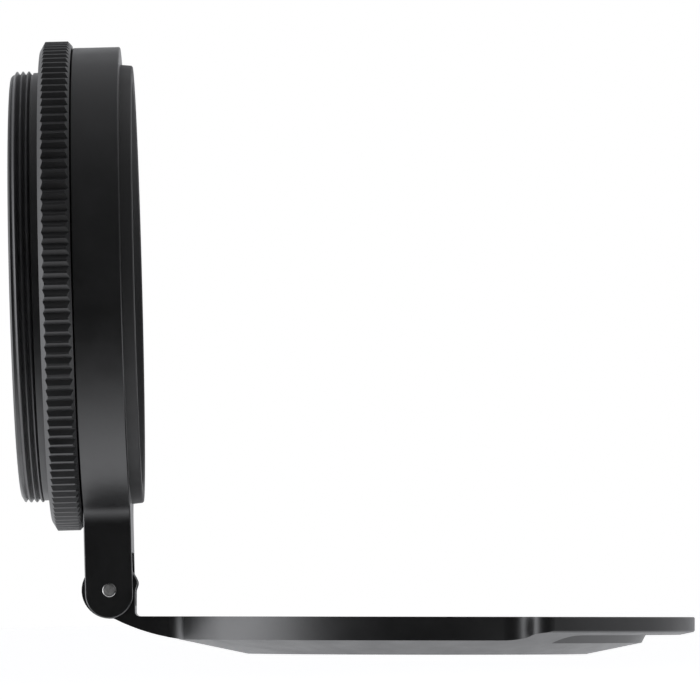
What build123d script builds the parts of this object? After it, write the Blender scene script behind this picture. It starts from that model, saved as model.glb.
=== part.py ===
from build123d import *
from math import cos, degrees, radians, sin, sqrt, tan
import os

# Flip-up lens cover for the 56 mm objective of a sighting telescope.
#
# A knurled mounting ring screws into the end of the telescope. A hinge ring swivels on its
# sleeve, so the hinge can be set to any side, and carries a sprung lid on a cross pin.
#
# X runs along the optical axis towards the front, Z is up, and the origin is the middle of the
# shoulder that seats on the telescope. Lengths are in millimetres and angles in degrees.
# The lid is drawn open, at the end of its swing.

# Optical bore and mounting thread
aperture_radius = 28.0
neck_wall = 1.12
thread_length = 4.08
thread_lead = 0.25

# Knurled mounting ring and the sleeve that the hinge ring turns on
knurl_rise = 0.93
knurl_width = 4.3
knurl_teeth = 136
knurl_depth = 0.45
knurl_crest = 0.3
knurl_rear_bevel = 0.7
knurl_rear_bevel_drop = 1.2
knurl_front_bevel = 0.55
knurl_front_bevel_drop = 0.6
sleeve_wall = 1.6
swivel_clearance = 0.05
swivel_gap = 0.15
sleeve_end_gap = 0.2

# Hinge ring
body_step = 2.46
body_length = 6.42
front_wall = 1.45
edge_break = 0.12
lip_wall = 2.2
lip_length = 1.65
lip_taper = 0.15
lip_break = 0.15

# Round wire that keeps the hinge ring on the sleeve
retainer_radius = 0.45
retainer_offset = 2.7
retainer_opening = 12.0
retainer_seat = 0.5
retainer_clearance = 0.05

# Rubber ring that gives the swivel its drag
drag_ring_section = 0.5
drag_groove_depth = 0.9
drag_groove_clearance = 0.05

# Hinge
pin_drop = 9.3
pin_forward = 0.08
pin_radius = 1.0
pin_bevel = 0.15
pin_recess = 0.05
pin_running_clearance = 0.03
knuckle_width = 12.0
knuckle_radius = 3.87
knuckle_side_gap = 0.15
ear_thickness = 3.4
ear_tip_drop = 0.6
ear_fillet = 3.2
slot_roof = 5.1
heel_width = 2.2
heel_back = 2.9
heel_clearance = 0.05
heel_round = 0.4

# Lid
open_angle = 91.6
lid_gap = 0.4
lid_thickness = 5.08
cone_width = 9.35
cone_angle = 11.7
lid_break = 0.15
brim_break = 0.2
brim_reach = 5.45
brim_half_angle = 66.5
brim_inner_round = 2.7
brim_outer_round = 2.2
shelf_inset = 1.25
shelf_thickness = 2.43
shelf_wall_lean = 28.0
shelf_flat_start = 21.3
shelf_cutter_radius = 8.0
recess_clearance = 0.3
recess_depth = 1.7
arm_round = 2.3
arm_wall = 3.42
arm_wall_slope = 0.95
arm_wall_round = 1.1
arm_inside_round = 0.6
arm_start_angle = 82.5
arm_sweep = 28.0
arm_run = 10.0

# Rubber ring inside the lid that grips the lip
seal_section = 0.4
seal_clearance = 0.12
seal_groove_start = 0.25
seal_groove_clearance = 0.05

# Torsion spring
spring_wire = 0.3
spring_coil_radius = 1.75
spring_turns = 7.25
spring_pitch = 0.66
spring_side_gap = 0.2
spring_pocket_clearance = 0.35
spring_leg_clearance = 0.05
spring_leg_depth = 1.5
spring_leg_reach = 3.2

# How far a cutting profile runs past the metal, and how near a corner counts as found
overshoot = 1.0
corner_reach = 0.1

# Places along the optical axis
body_rear = knurl_width + swivel_gap
body_front = body_rear + body_length
pocket_end = body_front - front_wall
sleeve_end = pocket_end - sleeve_end_gap
lip_front = body_front + lip_length
retainer_x = body_rear + retainer_offset

# Radii, each from the wall or step that it adds to the one inside it
thread_core_radius = aperture_radius + neck_wall
sleeve_radius = aperture_radius + sleeve_wall
pocket_radius = sleeve_radius + swivel_clearance
retainer_path = (sleeve_radius + pocket_radius) / 2
lip_radius = aperture_radius + lip_wall
body_radius = lip_radius + body_step
knurl_radius = body_radius + knurl_rise
drag_ring_radius = (pocket_radius + body_radius) / 2
lid_radius = body_radius
land_radius = lid_radius - cone_width
shelf_radius = lid_radius - shelf_inset
brim_radius = lid_radius + brim_reach
recess_radius = lip_radius + recess_clearance

# Hinge places
ear_middle = body_rear + body_length / 2
pin_x = ear_middle + pin_forward
pin_z = -body_radius - pin_drop
slot_width = knuckle_width + 2 * knuckle_side_gap
hinge_width = slot_width + 2 * ear_thickness

# Spring places: the coil is centred between the ears, and each leg runs on along its end
spring_height = spring_turns * spring_pitch
spring_start = -spring_height / 2
coil = Helix(
    spring_pitch,
    spring_height,
    spring_coil_radius,
    center=(pin_x, spring_start, pin_z),
    direction=(0, 1, 0),
    lefthand=True,
).rotate(Axis((pin_x, 0, pin_z), (0, 1, 0)), -90)
fixed_leg = Plane(origin=coil @ 0, z_dir=coil % 0)
moving_leg = Plane(origin=coil @ 1, z_dir=coil % 1)
fixed_leg_length = slot_roof + spring_leg_depth
leg_at_roof = fixed_leg.origin - fixed_leg.z_dir * slot_roof
spring_pocket_width = 2 * (abs(leg_at_roof.Y) + spring_wire + spring_side_gap)

# Lid places, along the lid from the pin and outwards from the pin
lid_reach = -pin_z
lid_inner = body_front + lid_gap - pin_x
lid_outer = lid_inner + lid_thickness


def cone_height(radius):
    """Outward place of the lid's conical outer face at a radius."""
    return lid_outer - max(radius - land_radius, 0) * tan(radians(cone_angle))


lid_direction = Vector(sin(radians(open_angle)), 0, cos(radians(open_angle)))
lid_outward = Vector(cos(radians(open_angle)), 0, -sin(radians(open_angle)))
pin_centre = Vector(pin_x, 0, pin_z)

optical_axis = Axis((0, 0, 0), (1, 0, 0))
lid_centre = pin_centre + lid_direction * lid_reach
lid_axis = Axis(lid_centre, lid_outward)

# Section planes: profile has X along the optical axis and Y as radius, lid_plan looks at the
# lid's face from its pin, and lid_side is the lid's middle section with Y outwards.
profile = Plane.XZ
lid_plan = Plane(origin=pin_centre, x_dir=lid_direction, z_dir=lid_outward)
lid_side = Plane(origin=pin_centre, x_dir=lid_direction, z_dir=(0, 1, 0))


# Mounting ring: threaded neck, knurled flange and swivel sleeve in one turned piece
def knurl_point(radius, angle):
    """Point of the knurl outline at a radius and an angle about the optical axis."""
    return (radius * cos(radians(angle)), radius * sin(radians(angle)))


knurl_root = knurl_radius - knurl_depth
tooth_angle = 360 / knurl_teeth
crest_angle = degrees(knurl_crest / knurl_radius)
knurl_outline = []
for tooth in range(knurl_teeth):
    middle = tooth * tooth_angle
    knurl_outline.append(knurl_point(knurl_radius, middle - crest_angle / 2))
    knurl_outline.append(knurl_point(knurl_radius, middle + crest_angle / 2))
    knurl_outline.append(knurl_point(knurl_root, middle + tooth_angle / 2))

with BuildPart() as mounting_ring:
    with BuildSketch(Plane.YZ):
        with BuildLine():
            Polyline(knurl_outline, close=True)
        make_face()
    extrude(amount=knurl_width)
    with BuildSketch(profile):
        with BuildLine():
            Polyline(
                (0, 0),
                (0, knurl_radius - knurl_rear_bevel_drop),
                (knurl_rear_bevel, knurl_radius),
                (knurl_width - knurl_front_bevel, knurl_radius),
                (knurl_width, knurl_radius - knurl_front_bevel_drop),
                (knurl_width, 0),
                close=True,
            )
        make_face()
    revolve(axis=optical_axis, mode=Mode.INTERSECT)
    with BuildSketch(profile):
        with BuildLine():
            Polyline(
                (-thread_length, 0),
                (-thread_length, thread_core_radius - thread_lead),
                (thread_lead - thread_length, thread_core_radius),
                (knurl_width / 2, thread_core_radius),
                (knurl_width / 2, sleeve_radius),
                (sleeve_end - edge_break, sleeve_radius),
                (sleeve_end, sleeve_radius - edge_break),
                (sleeve_end, 0),
                close=True,
            )
        make_face()
    revolve(axis=optical_axis)
    with BuildSketch(Plane.YZ.offset(-thread_length)):
        Circle(aperture_radius)
    extrude(amount=thread_length + sleeve_end, mode=Mode.SUBTRACT)
    with BuildSketch(profile):
        with Locations((retainer_x, sleeve_radius)):
            Rectangle(2 * (retainer_radius + retainer_clearance), 2 * retainer_seat)
    revolve(axis=optical_axis, mode=Mode.SUBTRACT)

# Hinge ring: turned body with the two hinge ears below it
ear_round_z = pin_z - ear_tip_drop
ear_shoulder = -sqrt(body_radius**2 - (hinge_width / 2) ** 2)

with BuildPart() as hinge_ring:
    with BuildSketch(Plane.YZ.offset(body_rear)):
        Circle(body_radius)
        with Locations((0, ear_round_z / 2)):
            Rectangle(hinge_width, -ear_round_z)
        shoulders = vertices().filter_by_position(
            Axis.Y, ear_shoulder - corner_reach, ear_shoulder + corner_reach
        )
        fillet(shoulders, ear_fillet)
    extrude(amount=body_length)
    with BuildSketch(Plane.XZ):
        with Locations((ear_middle, ear_round_z)):
            Circle(body_length / 2)
    extrude(amount=hinge_width / 2, both=True)
    ends = faces().filter_by(Axis.X).sort_by(Axis.X)
    outlines = ends[0].outer_wire().edges() + ends[-1].outer_wire().edges()
    ear_faces = faces().filter_by(Axis.Y).sort_by(Axis.Y)
    ear_arcs = (ear_faces[0].edges() + ear_faces[-1].edges()).filter_by(GeomType.CIRCLE)
    chamfer(outlines.filter_by(Axis.Y, reverse=True) + ear_arcs, edge_break)
    # Lip that the lid closes over
    with BuildSketch(profile):
        with BuildLine():
            Polyline(
                (pocket_end, 0),
                (pocket_end, lip_radius),
                (body_front, lip_radius),
                (lip_front - lip_break, lip_radius - lip_taper),
                (lip_front, lip_radius - lip_taper - lip_break),
                (lip_front, 0),
                close=True,
            )
        make_face()
    revolve(axis=optical_axis)
    # Aperture, sleeve pocket and the two ring grooves
    with BuildSketch(profile):
        with BuildLine():
            Polyline(
                (body_rear - overshoot, 0),
                (body_rear - overshoot, pocket_radius),
                (pocket_end, pocket_radius),
                (pocket_end, aperture_radius),
                (lip_front - lip_break, aperture_radius),
                (lip_front, aperture_radius + lip_break),
                (lip_front + overshoot, aperture_radius + lip_break),
                (lip_front + overshoot, 0),
                close=True,
            )
        make_face()
        with Locations((retainer_x, pocket_radius)):
            Rectangle(2 * (retainer_radius + retainer_clearance), 2 * retainer_seat)
        with Locations((body_rear, drag_ring_radius)):
            Rectangle(2 * drag_groove_depth, 2 * (drag_ring_section + drag_groove_clearance))
    revolve(axis=optical_axis, mode=Mode.SUBTRACT)
    # Slot for the lid's knuckle
    with BuildSketch(Plane.YZ.offset(body_rear)):
        slot_top = pin_z + slot_roof
        slot_depth = slot_top - ear_round_z + body_length
        with Locations((0, slot_top - slot_depth / 2)):
            Rectangle(slot_width, slot_depth)
    extrude(amount=body_length, mode=Mode.SUBTRACT)
    with BuildSketch(Plane.XZ):
        with Locations((pin_x, pin_z)):
            Circle(pin_radius)
    extrude(amount=hinge_width / 2, both=True, mode=Mode.SUBTRACT)
    # Blind hole in the slot's roof for the spring's fixed leg
    with BuildSketch(fixed_leg):
        Circle(spring_wire + spring_leg_clearance)
    extrude(amount=-fixed_leg_length, mode=Mode.SUBTRACT)

with BuildPart() as retaining_wire:
    with BuildSketch(profile):
        with Locations((retainer_x, retainer_path)):
            Circle(retainer_radius)
    revolve(axis=optical_axis, revolution_arc=360 - retainer_opening)

with BuildPart() as drag_ring:
    with BuildSketch(profile):
        with Locations((body_rear + drag_groove_depth - drag_ring_section, drag_ring_radius)):
            Circle(drag_ring_section)
    revolve(axis=optical_axis)

with BuildPart() as hinge_pin:
    with BuildSketch(Plane.XZ):
        with Locations((pin_x, pin_z)):
            Circle(pin_radius)
    extrude(amount=hinge_width / 2 - pin_recess, both=True)
    chamfer(edges().filter_by(GeomType.CIRCLE), pin_bevel)

# Arm of the lid: knuckle, heel that stops the lid on the slot's roof, and web to the disc
arm_start = (
    knuckle_radius * cos(radians(arm_start_angle)),
    knuckle_radius * sin(radians(arm_start_angle)),
)
arm_end = (arm_run, cone_height(lid_radius))
relief_start = (sqrt(knuckle_radius**2 - arm_wall_slope**2), -arm_wall_slope)
arm_join = lid_reach - sqrt(lid_radius**2 - (knuckle_width / 2) ** 2)
arm_root = arm_join + arm_round
heel_top = slot_roof - heel_clearance

with BuildPart() as arm:
    with BuildSketch(lid_side):
        with BuildLine():
            RadiusArc(arm_start, arm_end, arm_sweep)
            Polyline(
                arm_end,
                (arm_root, arm_end[1]),
                (arm_root, lid_inner),
                (arm_wall, lid_inner),
                (arm_wall, 0),
                (0, 0),
                arm_start,
            )
        make_face()
        fillet(vertices().sort_by_distance((arm_wall, lid_inner))[0], arm_inside_round)
    extrude(amount=knuckle_width / 2 + arm_round, both=True)
    # The web keeps the arm's width and widens into the disc with a round on each side
    with BuildSketch(lid_plan) as arm_plan:
        with Locations((lid_reach, 0)):
            Circle(lid_radius)
        with Locations((lid_reach / 2, 0)):
            Rectangle(lid_reach, knuckle_width)
        joins = vertices().filter_by_position(Axis.X, arm_join - corner_reach, arm_join + corner_reach)
        fillet(joins, arm_round)
    extrude(amount=lid_outer + overshoot, both=True, mode=Mode.INTERSECT)

with BuildPart() as knuckle:
    with BuildSketch(lid_side):
        Circle(knuckle_radius)
        # The front slopes in from the round to the arm's inside wall
        with BuildLine():
            Polyline(
                relief_start,
                (arm_wall, 0),
                (arm_wall, lid_inner),
                (2 * knuckle_radius, lid_inner),
                (2 * knuckle_radius, -arm_wall_slope),
                close=True,
            )
        make_face(mode=Mode.SUBTRACT)
        for corner in (relief_start, (arm_wall, 0)):
            fillet(vertices().sort_by_distance(corner)[0], arm_wall_round)
    extrude(amount=knuckle_width / 2, both=True)
    with BuildSketch(Plane.XZ):
        with BuildLine():
            Polyline(
                (pin_x - heel_back, pin_z),
                (pin_x - heel_back, pin_z + heel_top),
                (pin_x - heel_back + heel_width, pin_z + heel_top),
                (pin_x, pin_z),
                close=True,
            )
        make_face()
        fillet(vertices().group_by(Axis.Y)[-1], heel_round)
    extrude(amount=knuckle_width / 2, both=True)

# Outline of the thumb brim
def sector(radius, half_angle):
    """Corners of a wedge about the disc's centre that reaches past a radius."""
    reach = 2 * radius
    side = (lid_reach + reach * cos(radians(half_angle)), reach * sin(radians(half_angle)))
    return [
        (lid_reach, 0),
        side,
        (lid_reach + reach, side[1]),
        (lid_reach + reach, -side[1]),
        (side[0], -side[1]),
    ]


def at_corner(found, radius, half_angle):
    """The two corners of an outline at a radius and a half angle about the disc's centre."""
    x = lid_reach + radius * cos(radians(half_angle))
    y = radius * sin(radians(half_angle))
    return [found.sort_by_distance((x, y))[0], found.sort_by_distance((x, -y))[0]]


with BuildSketch(lid_plan) as brim_plan:
    with Locations((lid_reach, 0)):
        Circle(brim_radius)
    with BuildLine():
        Polyline(sector(brim_radius, brim_half_angle), close=True)
    make_face(mode=Mode.INTERSECT)

# Cutter's path for the shelf in the brim's back: flat floor, leaning wall, round run-out at the ends
shelf_floor = lid_inner + shelf_thickness
shelf_top = lid_outer + overshoot
shelf_wall_top = shelf_radius - (shelf_top - shelf_floor) * tan(radians(shelf_wall_lean))
cutter_rise = shelf_top - shelf_floor
cutter_run = sqrt(shelf_cutter_radius**2 - (shelf_cutter_radius - cutter_rise) ** 2)
shelf_flat = lid_reach + shelf_flat_start

with BuildPart() as shelf_cut:
    with BuildSketch(lid_side):
        with BuildLine():
            Polyline(
                (lid_reach + shelf_radius, shelf_floor),
                (lid_reach + shelf_wall_top, shelf_top),
                (lid_reach + brim_radius + overshoot, shelf_top),
                (lid_reach + brim_radius + overshoot, shelf_floor),
                close=True,
            )
        make_face()
    revolve(axis=lid_axis)
    with BuildSketch(lid_side):
        with BuildLine():
            RadiusArc((shelf_flat, shelf_floor), (shelf_flat - cutter_run, shelf_top), shelf_cutter_radius)
            Polyline(
                (shelf_flat - cutter_run, shelf_top),
                (lid_reach + brim_radius + overshoot, shelf_top),
                (lid_reach + brim_radius + overshoot, shelf_floor),
                (shelf_flat, shelf_floor),
            )
        make_face()
    extrude(amount=brim_radius + overshoot, both=True, mode=Mode.INTERSECT)

# Seal places inside the lid
seal_path = lip_radius + seal_clearance + seal_section
seal_place = lid_inner + seal_groove_start + seal_groove_clearance + seal_section
recess_floor = lid_inner + recess_depth
brim_edge = cone_height(brim_radius - brim_break)

# Lid: disc with a thumb brim over part of its rim, a conical back and a recess over the lip
with BuildPart() as lid:
    with BuildSketch(lid_plan.offset(lid_inner)):
        with Locations((lid_reach, 0)):
            Circle(lid_radius)
        add(brim_plan.sketch_local)
        fillet(at_corner(vertices(), lid_radius, brim_half_angle), brim_inner_round)
        fillet(at_corner(vertices(), brim_radius, brim_half_angle), brim_outer_round)
    extrude(amount=lid_thickness)
    with BuildSketch(lid_side):
        with BuildLine():
            Polyline(
                (lid_reach, lid_inner),
                (lid_reach + brim_radius - lid_break, lid_inner),
                (lid_reach + brim_radius, lid_inner + lid_break),
                (lid_reach + brim_radius, brim_edge - brim_break),
                (lid_reach + brim_radius - brim_break, brim_edge),
                (lid_reach + land_radius, lid_outer),
                (lid_reach, lid_outer),
                close=True,
            )
        make_face()
    revolve(axis=lid_axis, mode=Mode.INTERSECT)
    add(arm.part)
    add(shelf_cut.part, mode=Mode.SUBTRACT)
    add(knuckle.part)
    # Recess for the lip, with the seal's groove in its wall
    with BuildSketch(lid_side):
        with BuildLine():
            Polyline(
                (lid_reach, lid_inner - overshoot),
                (lid_reach + recess_radius, lid_inner - overshoot),
                (lid_reach + recess_radius, recess_floor),
                (lid_reach, recess_floor),
                close=True,
            )
        make_face()
        with Locations((lid_reach + recess_radius, seal_place)):
            Rectangle(
                2 * (seal_path + seal_section + seal_groove_clearance - recess_radius),
                2 * (seal_section + seal_groove_clearance),
            )
    revolve(axis=lid_axis, mode=Mode.SUBTRACT)
    # Pocket for the spring, open towards the ring, and the pin's running hole
    with BuildSketch(lid_side):
        Circle(spring_coil_radius + spring_wire + spring_pocket_clearance)
        pocket_floor = spring_coil_radius + spring_wire + spring_leg_clearance
        with Locations((0, pocket_floor - slot_roof)):
            Rectangle(4 * knuckle_radius, 2 * slot_roof)
    extrude(amount=spring_pocket_width / 2, both=True, mode=Mode.SUBTRACT)
    with BuildSketch(lid_side):
        Circle(pin_radius + pin_running_clearance)
    extrude(amount=knuckle_width, both=True, mode=Mode.SUBTRACT)

with BuildPart() as lid_seal:
    with BuildSketch(lid_side):
        with Locations((lid_reach + seal_path, seal_place)):
            Circle(seal_section)
    revolve(axis=lid_axis)

# Torsion spring: a leg up into the slot's roof, coils round the pin and a leg out along the arm
with BuildPart() as torsion_spring:
    with BuildSketch(fixed_leg):
        Circle(spring_wire)
    sweep(path=coil, is_frenet=True)
    with BuildSketch(fixed_leg):
        Circle(spring_wire)
    extrude(amount=spring_leg_clearance - fixed_leg_length)
    with BuildSketch(moving_leg):
        Circle(spring_wire)
    extrude(amount=spring_leg_reach)

os.makedirs("parts", exist_ok=True)
pieces = {
    "mounting_ring": mounting_ring,
    "retaining_wire": retaining_wire,
    "drag_ring": drag_ring,
    "hinge_ring": hinge_ring,
    "hinge_pin": hinge_pin,
    "lid": lid,
    "lid_seal": lid_seal,
    "torsion_spring": torsion_spring,
}
for name, piece in pieces.items():
    piece.part.label = name
    export_step(piece.part, f"parts/{name}.step")
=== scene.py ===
"""Looks of the flip-up lens cover: its finishes, its small turned parts and a studio.

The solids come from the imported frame. This file adds the turns of the thread with the collar
behind them, the ground ends of the hinge pin and the sprung coil. It gives every piece its
finish, and stands the cover in a pale studio.
"""

import logging
import math
from dataclasses import dataclass, replace
from enum import Enum

import bmesh
import bpy
import numpy as np
from mathutils import Matrix, Vector


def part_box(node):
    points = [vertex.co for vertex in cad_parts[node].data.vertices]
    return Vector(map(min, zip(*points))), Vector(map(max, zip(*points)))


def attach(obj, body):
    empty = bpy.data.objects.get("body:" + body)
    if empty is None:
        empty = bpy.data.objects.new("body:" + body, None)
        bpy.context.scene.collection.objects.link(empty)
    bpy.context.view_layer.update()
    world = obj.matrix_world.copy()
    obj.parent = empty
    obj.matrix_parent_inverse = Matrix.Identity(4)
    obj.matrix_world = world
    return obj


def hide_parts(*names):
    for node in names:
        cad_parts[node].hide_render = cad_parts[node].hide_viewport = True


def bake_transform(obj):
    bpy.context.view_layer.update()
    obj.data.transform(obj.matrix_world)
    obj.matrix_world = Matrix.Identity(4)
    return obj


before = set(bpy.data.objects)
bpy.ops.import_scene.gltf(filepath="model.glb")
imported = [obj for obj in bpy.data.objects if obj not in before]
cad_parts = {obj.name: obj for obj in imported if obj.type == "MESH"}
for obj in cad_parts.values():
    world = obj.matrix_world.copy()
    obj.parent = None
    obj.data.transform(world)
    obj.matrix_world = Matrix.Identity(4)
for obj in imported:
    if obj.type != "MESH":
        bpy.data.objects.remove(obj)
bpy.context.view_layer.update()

log = logging.getLogger("lens_cover")

MM = 0.001
TAU = 2 * math.pi
NOISE_LOW, NOISE_HIGH = 0.3, 0.7

Colour = tuple[float, float, float]
Socket = bpy.types.NodeSocket


class Body(Enum):
    """The rigid bodies of the cover, by their names in the frame."""

    RING = "mounting_ring"
    HINGE = "hinge_ring"
    LID = "lid"


class Slot(Enum):
    """Names of the record's material slots; nothing in this script uses them."""

    ANODISED = "black_anodised"
    PIN = "ground_steel"
    SPRING = "spring_steel"


def tinted(colour: Colour, by: float) -> Colour:
    """A colour with each channel scaled by the same share."""
    return tuple(by * channel for channel in colour)


class Board:
    """A short way to write the nodes of a material or of the world."""

    def __init__(self, made: bpy.types.Material | bpy.types.World, output: str) -> None:
        """Empties a new material or world and gives it an output.

        Args:
            made: the material or the world.
            output: the output node's kind, without its ShaderNodeOutput prefix.
        """
        made.use_nodes = True
        self.made = made
        self.tree = made.node_tree
        self.tree.nodes.clear()
        self.output = self.node("Output" + output)

    @classmethod
    def material(cls, name: str) -> "Board":
        """Starts a material with nothing but an output.

        Args:
            name: the material's name.

        Returns:
            The board of its nodes.
        """
        return cls(bpy.data.materials.new(name), "Material")

    def node(self, kind: str, inputs: dict | None = None, **settings: object) -> bpy.types.Node:
        """Adds a node, sets it up and joins its inputs.

        Args:
            kind: the node's Blender type, without its ShaderNode prefix.
            inputs: value or socket for each input, by name or number.
            settings: attributes of the node itself.

        Returns:
            The new node.
        """
        made = self.tree.nodes.new("ShaderNode" + kind)
        for key, value in settings.items():
            setattr(made, key, value)
        for key, value in (inputs or {}).items():
            if isinstance(value, Socket):
                self.tree.links.new(value, made.inputs[key])
            else:
                made.inputs[key].default_value = value
        return made

    def math(self, operation: str, a: Socket | float, b: Socket | float = 0.0) -> Socket:
        """Adds a maths node and returns its result.

        Args:
            operation: the node's operation.
            a: first input.
            b: second input.

        Returns:
            The result's socket.
        """
        return self.node("Math", {0: a, 1: b}, operation=operation).outputs[0]

    def span(
        self,
        value: Socket,
        low: float,
        high: float,
        to_low: float,
        to_high: float,
        smooth: bool = False,
    ) -> Socket:
        """Maps a value from one range to another and holds it there.

        Args:
            value: the value to map.
            low: where the first range starts.
            high: where the first range ends.
            to_low: what the start becomes.
            to_high: what the end becomes.
            smooth: whether it eases in and out.

        Returns:
            The mapped value's socket.
        """
        inputs = {
            "Value": value,
            "From Min": low,
            "From Max": high,
            "To Min": to_low,
            "To Max": to_high,
        }
        kind = "SMOOTHSTEP" if smooth else "LINEAR"
        return self.node("MapRange", inputs, clamp=True, interpolation_type=kind).outputs["Result"]

    def spread(self, noise: Socket, to_low: float, to_high: float) -> Socket:
        """Maps a noise from where most of it lies to another range.

        Args:
            noise: the noise's socket.
            to_low: what its low spots become.
            to_high: what its high spots become.

        Returns:
            The mapped noise's socket.
        """
        return self.span(noise, NOISE_LOW, NOISE_HIGH, to_low, to_high)

    def place(self) -> Socket:
        """Object coordinates of the surface, in metres."""
        return self.node("TexCoord").outputs["Object"]

    def noise(
        self, place: Socket, size: float, detail: float = 2.0, roughness: float = 0.5
    ) -> Socket:
        """Noise whose spots are about a given size across.

        Args:
            place: the coordinates, in metres.
            size: size of a spot, in metres.
            detail: number of finer layers.
            roughness: strength of the finer layers.

        Returns:
            The noise's factor, about 0.5 on average.
        """
        inputs = {"Vector": place, "Scale": 1 / size, "Detail": detail, "Roughness": roughness}
        return self.node("TexNoise", inputs).outputs["Fac"]

    def bump(
        self,
        height: Socket,
        distance: float,
        strength: float = 1.0,
        under: Socket | None = None,
    ) -> Socket:
        """Bump from a height.

        Args:
            height: height, from 0 to 1.
            distance: depth that a height of 1 stands for, in metres.
            strength: share of the bump that shows.
            under: normal of a bump below this one.

        Returns:
            The normal's socket.
        """
        inputs: dict = {"Height": height, "Distance": distance, "Strength": strength}
        if under is not None:
            inputs["Normal"] = under
        return self.node("Bump", inputs).outputs["Normal"]

    def edges(
        self, radius: float, flat: float = 0.98, sharp: float = 0.8, samples: int = 8
    ) -> Socket:
        """How sharply the surface turns near a point, from 0 on a flat to 1 on an edge.

        The shading normal is compared with one that is rounded over the radius.

        Args:
            radius: width of the band along an edge, in metres.
            flat: cosine between the two normals that still counts as flat.
            sharp: cosine between them that counts as a full edge.
            samples: number of rays that the rounded normal is worked out from.

        Returns:
            The edge factor's socket.
        """
        rounded = self.node("Bevel", {"Radius": radius}, samples=samples).outputs["Normal"]
        plain = self.node("NewGeometry").outputs["Normal"]
        both = self.node("VectorMath", {0: rounded, 1: plain}, operation="DOT_PRODUCT")
        return self.span(both.outputs["Value"], flat, sharp, 0.0, 1.0)

    def mix(self, factor: Socket, under: Socket | Colour, over: Colour) -> Socket:
        """Lays one colour over another.

        Args:
            factor: how much of the upper colour shows.
            under: the lower colour, linear, or its socket.
            over: the upper colour, linear.

        Returns:
            The colour's socket.
        """
        lower = under if isinstance(under, Socket) else (*under, 1.0)
        colours = {0: factor, 6: lower, 7: (*over, 1.0)}
        return self.node("Mix", colours, data_type="RGBA").outputs[2]

    def join(self, shader: bpy.types.Node) -> None:
        """Joins a shader to the output."""
        self.tree.links.new(shader.outputs[0], self.output.inputs["Surface"])

    def done(self, shader: bpy.types.Node) -> bpy.types.Material:
        """Joins the shader to the output and returns the material."""
        self.join(shader)
        return self.made


@dataclass(frozen=True)
class AnodisedFinish:
    """Bead-blasted aluminium, dyed black and sealed.

    Attributes:
        colour: colour of the dyed layer where it is darkest.
        cloud_tint: how many times lighter its palest clouds are.
        cloud: size of those clouds, in metres.
        cloud_roughness: what the clouds change of the roughness, at least and at most.
        rubbed: colour where an edge is rubbed towards bare metal.
        rubbed_share: how much of that colour shows at most.
        rubbed_width: width of the rubbed band along an edge, in metres.
        rubbed_patch: size of the patches in which it is rubbed more or less, in metres.
        rubbed_range: noise at which those patches start and at which they are full.
        rubbed_least: share of the rubbing that is left between them.
        rubbed_polish: what rubbing takes off the roughness.
        roughness: mean roughness of the blasted skin.
        ior: refractive index of the sealed layer, which sets how much it mirrors.
        grain: size of the blasted pits, in metres.
        grain_depth: depth of the pits, in metres.
        grain_strength: share of that depth that shows.
        grain_roughness: what the pits change of the roughness, up and down.
        turned_from: place along X past which the skin is turned and not blasted, in metres.
        turned_blend: length along X over which one gives way to the other, in metres.
        turned_colour: colour of the turned skin.
        turned_roughness: what the turned skin adds to the roughness.
    """

    colour: Colour = (0.0108, 0.011, 0.0118)
    cloud_tint: float = 1.5
    cloud: float = 4.0 * MM
    cloud_roughness: tuple[float, float] = (-0.03, 0.04)
    rubbed: Colour = (0.1, 0.1, 0.102)
    rubbed_share: float = 0.55
    rubbed_width: float = 0.16 * MM
    rubbed_patch: float = 1.3 * MM
    rubbed_range: tuple[float, float] = (0.35, 0.65)
    rubbed_least: float = 0.25
    rubbed_polish: float = 0.08
    roughness: float = 0.38
    ior: float = 2.0
    grain: float = 0.11 * MM
    grain_depth: float = 0.012 * MM
    grain_strength: float = 0.55
    grain_roughness: float = 0.03
    turned_from: float = 1.0
    turned_blend: float = 0.05 * MM
    turned_colour: Colour = (0.028, 0.0283, 0.0295)
    turned_roughness: float = 0.22

    def make(self, name: str) -> bpy.types.Material:
        """Builds the finish.

        Args:
            name: the material's name.

        Returns:
            The material.
        """
        board = Board.material(name)
        place = board.place()
        pits = board.noise(place, self.grain, detail=2.0, roughness=0.6)
        clouds = board.noise(place, self.cloud, detail=3.0, roughness=0.55)
        patches = board.noise(place, self.rubbed_patch)
        patches = board.span(patches, *self.rubbed_range, self.rubbed_least, 1.0)
        worn = board.math("MULTIPLY", board.edges(self.rubbed_width), patches)
        along = board.node("SeparateXYZ", {0: place}).outputs["X"]
        ends = self.turned_from, self.turned_from + self.turned_blend
        turned = board.span(along, *ends, 0.0, 1.0)
        palest = tinted(self.colour, self.cloud_tint)
        colour = board.mix(board.spread(clouds, 0.0, 1.0), self.colour, palest)
        colour = board.mix(turned, colour, self.turned_colour)
        shown = board.math("MULTIPLY", worn, self.rubbed_share)
        colour = board.mix(shown, colour, self.rubbed)
        low, high = (self.roughness + change for change in self.cloud_roughness)
        cloudy = board.spread(clouds, low, high)
        grainy = board.spread(pits, -self.grain_roughness, self.grain_roughness)
        added = board.math("MULTIPLY", turned, self.turned_roughness)
        rough = board.math("ADD", board.math("ADD", cloudy, grainy), added)
        polish = board.math("MULTIPLY", worn, self.rubbed_polish)
        rough = board.math("SUBTRACT", rough, polish)
        inputs = {
            "Base Color": colour,
            "Roughness": rough,
            "IOR": self.ior,
            "Normal": board.bump(pits, self.grain_depth, self.grain_strength),
        }
        return board.done(board.node("BsdfPrincipled", inputs))


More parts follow.
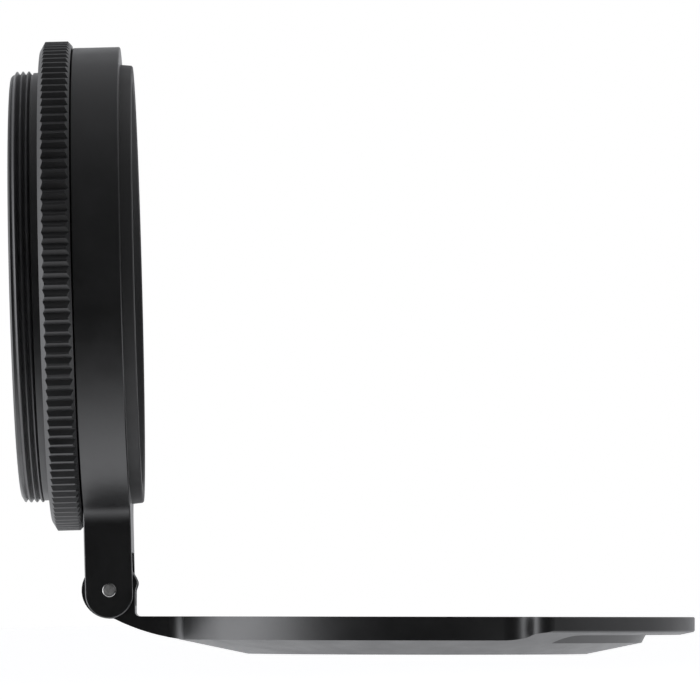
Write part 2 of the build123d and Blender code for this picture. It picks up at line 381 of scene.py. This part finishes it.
@dataclass(frozen=True)
class SteelFinish:
    """Bright steel, ground or drawn.

    Attributes:
        colour: colour of the bare metal.
        roughness: mean roughness.
        stain: size of the duller stains, in metres.
        stain_range: noise at which they start and at which they are full.
        stain_tint: share of the colour that is left in them.
        stain_roughness: what the stains change of the roughness, at least and at most.
        line: spacing of the grinding lines, in metres.
        line_depth: depth of those lines, in metres.
        scratch: size of the fine scratches, in metres.
        scratch_depth: depth of those scratches, in metres.
        scratch_strength: share of that depth that shows.
        rim: distance from the centre past which the metal is polished, in metres.
        rim_blend: width over which one gives way to the other, in metres.
        rim_roughness: roughness of the polished metal.
    """

    colour: Colour = (0.46, 0.45, 0.43)
    roughness: float = 0.32
    stain: float = 0.6 * MM
    stain_range: tuple[float, float] = (0.35, 0.7)
    stain_tint: float = 0.62
    stain_roughness: tuple[float, float] = (-0.06, 0.12)
    line: float = 0.05 * MM
    line_depth: float = 0.001 * MM
    scratch: float = 0.05 * MM
    scratch_depth: float = 0.002 * MM
    scratch_strength: float = 0.5
    rim: float = 1.0
    rim_blend: float = 0.02 * MM
    rim_roughness: float = 0.2

    def make(self, name: str, centre: Vector) -> bpy.types.Material:
        """Builds the finish, with fine rings about an axis along Y through a point.

        The rings are bumps of height sine(2 pi r / line) for the distance r from the axis.

        Args:
            name: the material's name.
            centre: the point that the rings run round.

        Returns:
            The material.
        """
        board = Board.material(name)
        place = board.place()
        moved = board.node("VectorMath", {0: place, 1: tuple(centre)}, operation="SUBTRACT")
        parts = board.node("SeparateXYZ", {0: moved.outputs[0]}).outputs
        squares = [board.math("MULTIPLY", parts[axis], parts[axis]) for axis in ("X", "Z")]
        radius = board.math("SQRT", board.math("ADD", *squares))
        waves = board.math("SINE", board.math("MULTIPLY", radius, TAU / self.line))
        rings = board.span(waves, -1.0, 1.0, 0.0, 1.0)
        stains = board.noise(place, self.stain, detail=3.0, roughness=0.6)
        shown = board.span(stains, *self.stain_range, 0.0, 1.0)
        colour = board.mix(shown, self.colour, tinted(self.colour, self.stain_tint))
        low, high = (self.roughness + change for change in self.stain_roughness)
        ends = self.rim, self.rim + self.rim_blend
        polish = board.span(radius, *ends, 0.0, self.roughness - self.rim_roughness)
        rough = board.math("SUBTRACT", board.spread(stains, low, high), polish)
        lines = board.bump(rings, self.line_depth)
        scratches = board.noise(place, self.scratch)
        inputs = {
            "Base Color": colour,
            "Metallic": 1.0,
            "Roughness": rough,
            "Normal": board.bump(scratches, self.scratch_depth, self.scratch_strength, lines),
        }
        return board.done(board.node("BsdfPrincipled", inputs))


@dataclass(frozen=True)
class RubberFinish:
    """Matt moulded rubber.

    Attributes:
        colour: colour of the clean rubber.
        roughness: its roughness.
        gloss: its specular level.
        dust: size of the dusty patches, in metres.
        dust_range: noise at which they start and at which they are full.
        dust_tint: how many times lighter they are.
        dust_roughness: what they add to the roughness.
        pore: size of the pores, in metres.
        pore_depth: depth of the pores, in metres.
        pore_strength: share of that depth that shows.
    """

    colour: Colour = (0.012, 0.012, 0.013)
    roughness: float = 0.6
    gloss: float = 0.4
    dust: float = 0.9 * MM
    dust_range: tuple[float, float] = (0.5, 0.75)
    dust_tint: float = 2.2
    dust_roughness: float = 0.12
    pore: float = 0.06 * MM
    pore_depth: float = 0.004 * MM
    pore_strength: float = 0.5

    def make(self, name: str) -> bpy.types.Material:
        """Builds the finish.

        Args:
            name: the material's name.

        Returns:
            The material.
        """
        board = Board.material(name)
        place = board.place()
        dust = board.noise(place, self.dust, detail=4.0, roughness=0.6)
        shown = board.span(dust, *self.dust_range, 0.0, 1.0)
        colour = board.mix(shown, self.colour, tinted(self.colour, self.dust_tint))
        rough = board.spread(dust, self.roughness, self.roughness + self.dust_roughness)
        pores = board.noise(place, self.pore)
        inputs = {
            "Base Color": colour,
            "Roughness": rough,
            "Specular IOR Level": self.gloss,
            "Normal": board.bump(pores, self.pore_depth, self.pore_strength),
        }
        return board.done(board.node("BsdfPrincipled", inputs))


@dataclass(frozen=True)
class PaleFloor:
    """Plain pale floor that shows white to the eye and keeps a shadow.

    Gloss looks through it to the surroundings, as if the cover stood well above the floor.

    Attributes:
        colour: albedo of the floor.
        speckle: size of its faint speckles, in metres.
        speckle_tint: how many times lighter they are.
        glow: brightness that the eye sees on top of the lit floor.
    """

    colour: Colour = (0.86, 0.86, 0.86)
    speckle: float = 3.0 * MM
    speckle_tint: float = 1.02
    glow: float = 0.74

    def make(self, name: str) -> bpy.types.Material:
        """Builds the finish.

        Args:
            name: the material's name.

        Returns:
            The material.
        """
        board = Board.material(name)
        speckles = board.noise(board.place(), self.speckle)
        colour = board.mix(speckles, self.colour, tinted(self.colour, self.speckle_tint))
        diffuse = board.node("BsdfDiffuse", {"Color": colour})
        path = board.node("LightPath").outputs
        eye = board.math("MULTIPLY", path["Is Camera Ray"], self.glow)
        lit = board.node("Emission", {"Color": (1, 1, 1, 1), "Strength": eye})
        both = board.node("AddShader", {0: diffuse.outputs[0], 1: lit.outputs[0]})
        clear = board.node("BsdfTransparent")
        behind = board.node("NewGeometry").outputs["Backfacing"]
        through = board.math("MAXIMUM", behind, path["Is Glossy Ray"])
        sides = board.node("MixShader", {0: through, 1: both.outputs[0], 2: clear.outputs[0]})
        return board.done(sides)


def grid_mesh(
    name: str,
    points: np.ndarray,
    round_i: bool = False,
    round_j: bool = False,
    smooth: bool = True,
) -> bpy.types.Object:
    """Puts a grid of points into a mesh of four-sided faces.

    Corner (i, j) is joined to (i + 1, j), (i + 1, j + 1) and (i, j + 1), and the last row or
    column joins the first one where the surface is closed that way. A tube, closed across the
    columns alone, gets a cap at both ends.

    Args:
        name: the object's name.
        points: array of rows, columns and three coordinates, in metres.
        round_i: whether the rows close into a loop.
        round_j: whether the columns close into a loop.
        smooth: whether the faces are shaded smooth.

    Returns:
        The new object, at the origin.
    """
    rows, columns = points.shape[:2]
    i = np.arange(rows if round_i else rows - 1)
    j = np.arange(columns if round_j else columns - 1)
    i, j = np.meshgrid(i, j, indexing="ij")
    after_i, after_j = (i + 1) % rows, (j + 1) % columns
    ring = ((i, j), (after_i, j), (after_i, after_j), (i, after_j))
    faces = np.stack([(row * columns + column).ravel() for row, column in ring], axis=1)
    caps = []
    if round_j and not round_i:
        first = np.arange(columns)
        last = (rows - 1) * columns + first
        caps = [first.tolist(), last[::-1].tolist()]
    mesh = bpy.data.meshes.new(name)
    mesh.from_pydata(points.reshape(-1, 3).tolist(), [], faces.tolist() + caps)
    mesh.polygons.foreach_set("use_smooth", np.full(len(mesh.polygons), smooth))
    mesh.update()
    made = bpy.data.objects.new(name, mesh)
    bpy.context.scene.collection.objects.link(made)
    return made


def outward(piece: bpy.types.Object) -> bpy.types.Object:
    """Turns every face of a closed piece outwards.

    Args:
        piece: the piece, a closed shell.

    Returns:
        The same piece.
    """
    work = bmesh.new()
    work.from_mesh(piece.data)
    bmesh.ops.recalc_face_normals(work, faces=work.faces)
    work.to_mesh(piece.data)
    work.free()
    piece.data.update()
    return piece


def dress(piece: bpy.types.Object, material: bpy.types.Material) -> None:
    """Gives a piece one material in all of its slots.

    Args:
        piece: a new piece or a node of the frame.
        material: the finish.
    """
    if not piece.material_slots:
        piece.data.materials.append(material)
    for slot in piece.material_slots:
        slot.material = material
    log.info("%s is finished in %s", piece.name, material.name)


def settle(piece: bpy.types.Object, body: Body) -> None:
    """Lets a new piece ride on a body.

    Args:
        piece: the new piece.
        body: the body that carries it.
    """
    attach(piece, body.value)
    log.info("%s rides on %s with %d faces", piece.name, body.value, len(piece.data.polygons))


def pin_centre() -> Vector:
    """Middle of the hinge pin, in metres."""
    low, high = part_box("hinge_pin")
    return (low + high) / 2


@dataclass
class MountingRing:
    """The ring that screws into the telescope: its thread turns, its collar and its finish.

    Attributes:
        end: place of the neck's end along X, in metres.
        end_gap: how far the ridge stays off that end, in metres.
        end_radius: radius of the neck at its end, in metres.
        end_slope: how steeply the lead-in cuts the thread.
        core_radius: radius of the neck under the thread, in metres.
        crest_radius: radius over the thread's crest, in metres.
        pitch: lead of the thread, in metres.
        first: place of the first turn's middle at its start, along X, in metres.
        turns: number of turns, run-outs included.
        root_width: width of the ridge at the neck, in metres.
        crest_width: width of the ridge at its crest, in metres.
        sink: how deep the ridge stands in the neck, in metres.
        run_out: share of a turn over which the ridge grows at its start and fades at its end.
        start_angle: where the ridge starts about the axis, in radians.
        turn_steps: number of sections in a turn of the ridge.
        collar_start: place along X where the collar behind the thread begins, in metres.
        collar_radius: radius over that collar, in metres.
        collar_slope: length along X of the step up to it, in metres.
        collar_steps: number of sections round the collar.
        finish: finish of the ring and the collar.
        thread_finish: finish of the thread, cut after the blasting.
    """

    end: float = -4.08 * MM
    end_gap: float = 0.02 * MM
    end_radius: float = 28.87 * MM
    end_slope: float = 2.0
    core_radius: float = 29.12 * MM
    crest_radius: float = 29.6 * MM
    pitch: float = 0.8 * MM
    first: float = -3.78 * MM
    turns: float = 3.3
    root_width: float = 0.8 * MM
    crest_width: float = 0.14 * MM
    sink: float = 0.06 * MM
    run_out: float = 0.12
    start_angle: float = math.radians(-126)
    turn_steps: int = 220
    collar_start: float = -1.02 * MM
    collar_radius: float = 29.38 * MM
    collar_slope: float = 0.05 * MM
    collar_steps: int = 360
    finish: AnodisedFinish = AnodisedFinish(colour=(0.0145, 0.0148, 0.0158), roughness=0.4)
    thread_finish: AnodisedFinish = AnodisedFinish(
        colour=(0.019, 0.0193, 0.0205), roughness=0.34, grain_depth=0.006 * MM
    )

    def thread(self) -> bpy.types.Object:
        """Builds the ridge of the thread.

        At turn t the section sits at X = first + pitch t and at the angle start + 2 pi t. Its
        corners are the root's two edges on the neck with the crest's two edges between them,
        and then the root's edges again, sunk into the neck. The crest is the lower of the
        crest radius and the lead-in's cone. Its height over the neck is scaled by the ramp
        s s (3 - 2 s), where s is the distance from the nearer end over the run-out.

        Returns:
            The ridge.
        """
        t = np.linspace(0.0, self.turns, int(self.turns * self.turn_steps) + 1)[:, None]
        ramp = np.clip(np.minimum(t, self.turns - t) / self.run_out, 0.0, 1.0)
        ramp = ramp * ramp * (3 - 2 * ramp)
        root, top = self.root_width / 2, self.crest_width / 2
        across = np.array([-root, -top, top, root, root, -root])
        raised = np.array([0, 1, 1, 0, 0, 0])
        sunk = np.array([0, 0, 0, 0, 1, 1])
        x = np.maximum(self.first + self.pitch * t + across, self.end + self.end_gap)
        neck = np.minimum(self.core_radius, self.end_radius + (x - self.end))
        lead_in = self.end_radius + self.end_slope * (x - self.end)
        crest = np.minimum(self.crest_radius, lead_in)
        radius = neck + (crest - neck) * ramp * raised - self.sink * sunk
        angle = self.start_angle + TAU * t
        points = np.stack([x, radius * np.cos(angle), radius * np.sin(angle)], axis=-1)
        return outward(grid_mesh("thread_turns", points, round_j=True, smooth=False))

    def collar(self) -> bpy.types.Object:
        """Builds the plain collar between the thread and the knurled flange.

        The profile is a closed loop of four corners: the foot and the edge of the step, then
        the collar's far end, which is sunk into the flange, out and in. It turns about X.

        Returns:
            The collar.
        """
        foot, face = self.core_radius - self.sink, self.sink
        x = np.array([self.collar_start - self.collar_slope, self.collar_start, face, face])
        radius = np.array([foot, self.collar_radius, self.collar_radius, foot])
        a = np.linspace(0.0, TAU, self.collar_steps, endpoint=False)[:, None]
        along = np.broadcast_to(x, (len(a), len(x)))
        points = np.stack([along, radius * np.cos(a), radius * np.sin(a)], axis=-1)
        made = grid_mesh("neck_collar", points, round_i=True, round_j=True, smooth=False)
        return outward(made)

    def build(self) -> None:
        """Dresses the ring, and makes the thread and the collar behind it."""
        anodised = self.finish.make("anodised_ring")
        dress(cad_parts["mounting_ring"], anodised)
        collar = self.collar()
        dress(collar, anodised)
        settle(collar, Body.RING)
        ridge = self.thread()
        dress(ridge, self.thread_finish.make("anodised_thread"))
        settle(ridge, Body.RING)


@dataclass
class HingeRing:
    """The ring that swivels on the mounting ring, with its pin, wire and rubber ring.

    Attributes:
        end_radius: radius of the pin's ground ends, in metres.
        end_round: radius of the round at their rim, in metres.
        end_rise: how far their middle stands out of the pin's flat, in metres.
        end_dome: how much lower the edge of their face is, in metres.
        end_depth: how far they reach into the pin, in metres.
        end_middle: share of the face's radius that its flat middle spans.
        end_rings: number of rings over the face, and again over the round.
        end_sides: number of sides round each end.
        finish: finish of the ring, with the place along X where its turned lip begins.
        pin_finish: finish of the pin.
        end_finish: finish of the pin's ground ends.
        wire_finish: finish of the retaining wire.
        drag_finish: finish of the rubber ring.
    """

    end_radius: float = 0.99 * MM
    end_round: float = 0.26 * MM
    end_rise: float = 0.27 * MM
    end_dome: float = 0.05 * MM
    end_depth: float = 0.4 * MM
    end_middle: float = 0.04
    end_rings: int = 8
    end_sides: int = 48
    finish: AnodisedFinish = AnodisedFinish(turned_from=10.9 * MM)
    pin_finish: SteelFinish = SteelFinish()
    end_finish: SteelFinish = SteelFinish(colour=(0.95, 0.94, 0.92), roughness=0.64)
    wire_finish: SteelFinish = SteelFinish(roughness=0.36)
    drag_finish: RubberFinish = RubberFinish()

    @property
    def end_flat(self) -> float:
        """Radius of the pin end's face, inside its rounded rim, in metres."""
        return self.end_radius - self.end_round

    def pin_end(self, side: int) -> bpy.types.Object:
        """Builds one domed end of the hinge pin.

        The profile is a shallow dome, rise - dome (r / flat) squared, that runs into a quarter
        round at the rim and then straight into the pin. It turns about the pin's axis.

        Args:
            side: 1 for the end at +Y and -1 for the end at -Y.

        Returns:
            The end, a closed shell.
        """
        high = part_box("hinge_pin")[1]
        centre = pin_centre()
        r = np.linspace(self.end_middle * self.end_flat, self.end_flat, self.end_rings)
        dome = self.end_rise - self.end_dome * (r / self.end_flat) ** 2
        t = np.linspace(0.0, math.pi / 2, self.end_rings + 1)[1:]
        rim = dome[-1] - self.end_round * (1 - np.cos(t))
        rim_radius = self.end_flat + self.end_round * np.sin(t)
        radius = np.concatenate([r, rim_radius, [self.end_radius]])[:, None]
        height = np.concatenate([dome, rim, [-self.end_depth]])[:, None]
        a = np.linspace(0.0, TAU, self.end_sides, endpoint=False)
        x = centre.x + radius * np.cos(a)
        y = np.broadcast_to(centre.y + side * (high.y - centre.y + height), x.shape)
        z = centre.z + radius * np.sin(a)
        name = "pin_end_left" if side > 0 else "pin_end_right"
        return outward(grid_mesh(name, np.stack([x, y, z], axis=-1), round_j=True))

    def build(self) -> None:
        """Dresses the ring and what it carries, and grinds the pin's ends."""
        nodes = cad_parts
        centre = pin_centre()
        dress(nodes["hinge_ring"], self.finish.make("anodised_hinge"))
        dress(nodes["hinge_pin"], self.pin_finish.make("pin_steel", centre))
        ground = replace(self.end_finish, rim=self.end_flat).make("ground_end_steel", centre)
        for side in (-1, 1):
            end = self.pin_end(side)
            dress(end, ground)
            settle(end, Body.HINGE)
        drawn = self.wire_finish.make("wire_steel", Vector((0, 0, 0)))
        dress(nodes["retaining_wire"], drawn)
        dress(nodes["drag_ring"], self.drag_finish.make("rubber_drag"))


@dataclass
class Lid:
    """The lid and the rubber ring inside it.

    Attributes:
        finish: finish of the lid.
        seal_finish: finish of the rubber ring.
    """

    finish: AnodisedFinish = AnodisedFinish()
    seal_finish: RubberFinish = RubberFinish()

    def build(self) -> None:
        """Dresses the lid and its seal."""
        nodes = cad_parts
        dress(nodes["lid"], self.finish.make("anodised_lid"))
        dress(nodes["lid_seal"], self.seal_finish.make("rubber_seal"))


@dataclass
class TorsionSpring:
    """The coil that springs the lid open.

    Attributes:
        wire: radius of the wire, in metres.
        coil: radius of the coil's middle line, in metres.
        pitch: spacing of the turns, in metres.
        turns: number of turns.
        fixed_leg: length of the leg that stands in the slot's roof, in metres.
        moving_leg: length of the leg that lies along the arm, in metres.
        turn_steps: number of sections in a turn.
        fixed_steps: number of sections in the fixed leg.
        moving_steps: number of sections in the moving leg.
        sides: number of sides of the wire.
        finish: finish of the wire.
    """

    wire: float = 0.3 * MM
    coil: float = 1.75 * MM
    pitch: float = 0.66 * MM
    turns: float = 7.25
    fixed_leg: float = 6.55 * MM
    moving_leg: float = 3.2 * MM
    turn_steps: int = 40
    fixed_steps: int = 15
    moving_steps: int = 9
    sides: int = 12
    finish: SteelFinish = SteelFinish(roughness=0.3)

    @property
    def half_height(self) -> float:
        """Half the height of the coil's middle line, in metres."""
        return self.pitch * self.turns / 2

    def line(self) -> tuple[np.ndarray, np.ndarray]:
        """Middle line of the wire and its unit direction.

        The coil is pin + (-r cos a, pitch a / 2 pi - half height, -r sin a) for the angle a
        from 0 to 2 pi times the turns. Each leg runs on straight along the coil's direction.

        Returns:
            Points and directions, one row each.
        """
        a = np.linspace(0.0, TAU * self.turns, int(self.turns * self.turn_steps) + 1)
        across, up = np.cos(a), np.sin(a)
        along = self.pitch * a / TAU - self.half_height
        coil = np.stack([-self.coil * across, along, -self.coil * up], axis=-1)
        rise = np.full_like(a, self.pitch / TAU)
        run = np.stack([self.coil * up, rise, -self.coil * across], axis=-1)
        run /= np.linalg.norm(run, axis=1, keepdims=True)
        before = np.linspace(self.fixed_leg, 0.0, self.fixed_steps + 1)[:-1, None]
        after = np.linspace(0.0, self.moving_leg, self.moving_steps + 1)[1:, None]
        points = np.concatenate([coil[0] - run[0] * before, coil, coil[-1] + run[-1] * after])
        directions = np.concatenate(
            [
                np.repeat(run[:1], self.fixed_steps, axis=0),
                run,
                np.repeat(run[-1:], self.moving_steps, axis=0),
            ]
        )
        return points + np.array(pin_centre()), directions

    def build(self) -> None:
        """Makes the spring, finishes it and hides the frame's own coil.

        The wire is the circle side cos b + up sin b about each point of the middle line,
        where side and up stand square to its direction.
        """
        points, directions = self.line()
        side = np.cross(directions, np.array([0.0, 1.0, 0.0]))
        side /= np.linalg.norm(side, axis=1, keepdims=True)
        up = np.cross(side, directions)
        b = np.linspace(0.0, TAU, self.sides, endpoint=False)[None, :, None]
        ring = (side[:, None, :] * np.cos(b) + up[:, None, :] * np.sin(b)) * self.wire
        spring = outward(grid_mesh("sprung_coil", points[:, None, :] + ring, round_j=True))
        pin = pin_centre()
        dress(spring, self.finish.make("spring_steel_wire", pin))
        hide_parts("torsion_spring")
        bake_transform(spring)
        log.info("%s winds from %s to %s", spring.name, Body.HINGE.value, Body.LID.value)


@dataclass(frozen=True)
class Lamp:
    """A soft square lamp that lights the cover but doesn't show in its gloss.

    Attributes:
        name: the lamp's name.
        place: where it hangs, in metres.
        target: the point it faces, in metres.
        size: side of the square, in metres.
        power: power, in watts.
    """

    name: str
    place: tuple[float, float, float]
    target: tuple[float, float, float]
    size: float
    power: float

    def hang(self) -> None:
        """Hangs the lamp."""
        light = bpy.data.lights.new(self.name, "AREA")
        light.shape = "SQUARE"
        light.size = self.size
        light.energy = self.power
        made = bpy.data.objects.new(self.name, light)
        bpy.context.scene.collection.objects.link(made)
        made.location = self.place
        towards = Vector(self.target) - Vector(self.place)
        made.rotation_euler = towards.to_track_quat("-Z", "Y").to_euler()
        made.visible_glossy = False


@dataclass(frozen=True)
class Room:
    """What stands round the cover, painted by direction: sky, table, wall and backdrop.

    Attributes:
        tint: colour of them all.
        sky_dark: Y of a direction where the sky starts to brighten.
        sky_bright: Y of a direction where it is brightest.
        sky_low: its strength on the camera's side.
        sky_high: its strength behind the cover.
        sky_overhead: share of that strength that is left straight overhead.
        sky_fall: Z of a direction above which the sky dims.
        sky_right: share of that strength that is left to the far right.
        right_start: X of a direction where that dimming starts.
        table_dark: Y of a downward direction where the table starts to brighten.
        table_bright: Y of a downward direction where it is brightest.
        table_back: share of that brightness that is left to the back.
        table_edge: Z of a direction below which the table is all that shows.
        wall: strength that the bright wall on the left adds.
        wall_end: X of a direction where that wall ends.
        backdrop: strength that the white backdrop right behind the cover adds.
        backdrop_start: Y of a direction where that backdrop starts.
        backdrop_full: Y of a direction from which it has its full strength.
    """

    tint: Colour = (0.96, 0.97, 1.0)
    sky_dark: float = -1.0
    sky_bright: float = 0.4
    sky_low: float = 0.04
    sky_high: float = 0.61
    sky_fall: float = 0.3
    sky_overhead: float = 0.33
    sky_right: float = 0.15
    right_start: float = 0.68
    table_dark: float = -0.92
    table_bright: float = 0.0
    table_back: float = 0.74
    table_edge: float = -0.2
    wall: float = 1.55
    wall_end: float = -0.75
    backdrop: float = 0.4
    backdrop_start: float = 0.9
    backdrop_full: float = 0.97

    def sky(self, board: Board, x: Socket, y: Socket, z: Socket) -> Socket:
        """Strength of the sky in a direction.

        It is front(Y) over(Z) right(X): dark on the camera's side, dimmer overhead and to the
        far right.

        Args:
            board: the world's nodes.
            x: X of the direction.
            y: Y of the direction.
            z: Z of the direction.

        Returns:
            The strength's socket.
        """
        ends = self.sky_dark, self.sky_bright
        front = board.span(y, *ends, self.sky_low, self.sky_high, smooth=True)
        over = board.span(z, self.sky_fall, 1.0, 1.0, self.sky_overhead)
        right = board.span(x, self.right_start, 1.0, 1.0, self.sky_right)
        return board.math("MULTIPLY", board.math("MULTIPLY", front, over), right)

    def table(self, board: Board, y: Socket) -> Socket:
        """Strength of the white table in a direction, near(Y) back(Y).

        Args:
            board: the world's nodes.
            y: Y of the direction.

        Returns:
            The strength's socket.
        """
        near = board.span(y, self.table_dark, self.table_bright, 0.0, 1.0, smooth=True)
        back = board.span(y, self.table_bright, 1.0, 1.0, self.table_back)
        return board.math("MULTIPLY", near, back)

    def paint(self) -> None:
        """Paints the world: white to the eye, and the room to all else.

        Below the horizon the sky gives way to the table. The wall on the left and the backdrop
        right behind the cover are added to both.
        """
        world = bpy.data.worlds.new("studio")
        bpy.context.scene.world = world
        board = Board(world, "World")
        direction = board.node("TexCoord").outputs["Generated"]
        x, y, z = board.node("SeparateXYZ", {0: direction}).outputs
        down = board.span(z, self.table_edge, 0.0, 1.0, 0.0)
        lower = board.math("MULTIPLY", self.table(board, y), down)
        rest = board.math("SUBTRACT", 1.0, down)
        upper = board.math("MULTIPLY", self.sky(board, x, y, z), rest)
        wall = board.span(x, -1.0, self.wall_end, self.wall, 0.0, smooth=True)
        behind = board.span(y, self.backdrop_start, self.backdrop_full, 0.0, self.backdrop)
        strength = board.math("ADD", board.math("ADD", upper, lower), wall)
        strength = board.math("ADD", strength, behind)
        room = board.node("Background", {"Color": (*self.tint, 1.0), "Strength": strength})
        white = board.node("Background", {"Color": (1.0, 1.0, 1.0, 1.0), "Strength": 1.0})
        eye = board.node("LightPath").outputs["Is Camera Ray"]
        board.join(board.node("MixShader", {0: eye, 1: room.outputs[0], 2: white.outputs[0]}))


@dataclass(frozen=True)
class Camera:
    """A long lens a little below the optical axis.

    Attributes:
        eye: place of the camera, in metres.
        heading: how far it is turned from +Y towards +X, in degrees.
        pitch: how far it looks up, in degrees.
        roll: how far it leans, in degrees.
        lens: focal length, in millimetres.
        sensor: width of the sensor, in millimetres.
        clip: nearest and farthest distance that it shows, in metres.
    """

    eye: tuple[float, float, float] = (0.028018, -0.819805, -0.046121)
    heading: float = 0.9344
    pitch: float = 2.5368
    roll: float = -1.5195
    lens: float = 306.91
    sensor: float = 36.0
    clip: tuple[float, float] = (0.01, 100.0)

    def aim(self) -> None:
        """Sets up the camera and makes it the scene's own."""
        data = bpy.data.cameras.new("camera")
        data.sensor_width = self.sensor
        data.lens = self.lens
        data.clip_start, data.clip_end = self.clip
        made = bpy.data.objects.new("camera", data)
        bpy.context.scene.collection.objects.link(made)
        turn = Matrix.Rotation(math.radians(-self.heading), 4, "Z")
        lift = Matrix.Rotation(math.radians(90 + self.pitch), 4, "X")
        lean = Matrix.Rotation(math.radians(self.roll), 4, "Z")
        made.matrix_world = Matrix.Translation(self.eye) @ turn @ lift @ lean
        bpy.context.scene.camera = made


@dataclass
class Studio:
    """Floor, lamp, room and camera.

    Attributes:
        floor_z: height of the floor, in metres.
        floor_reach: how far the floor reaches each way, in metres.
        floor_finish: finish of the floor.
        lamp: the lamp.
        room: what stands round the cover.
        camera: the camera.
    """

    floor_z: float = -0.078
    floor_reach: float = 40.0
    floor_finish: PaleFloor = PaleFloor()
    lamp: Lamp = Lamp("top_lamp", (0.1, 0.35, 0.9), (0.03, 0.0, 0.0), size=0.9, power=9.0)
    room: Room = Room()
    camera: Camera = Camera()

    def floor(self) -> None:
        """Lays the floor, a level square grid."""
        grid = np.linspace(-self.floor_reach, self.floor_reach, 3)
        x, y = np.meshgrid(grid, grid, indexing="ij")
        floor = grid_mesh("floor", np.stack([x, y, np.full_like(x, self.floor_z)], axis=-1))
        dress(floor, self.floor_finish.make("pale_floor"))

    def build(self) -> None:
        """Sets up the whole studio."""
        self.floor()
        self.lamp.hang()
        self.room.paint()
        self.camera.aim()
        bpy.context.scene.view_settings.view_transform = "Standard"


def write_sizes() -> None:
    """Logs a line; no boxes are written."""
    log.info("boxes written")


def main() -> None:
    """Builds and dresses every sub-assembly, then the studio."""
    logging.basicConfig(level=logging.INFO, format="%(message)s")
    for assembly in (MountingRing(), HingeRing(), Lid(), TorsionSpring(), Studio()):
        assembly.build()
        log.info("%s built", type(assembly).__name__)
    write_sizes()


if __name__ == "__main__":
    main()
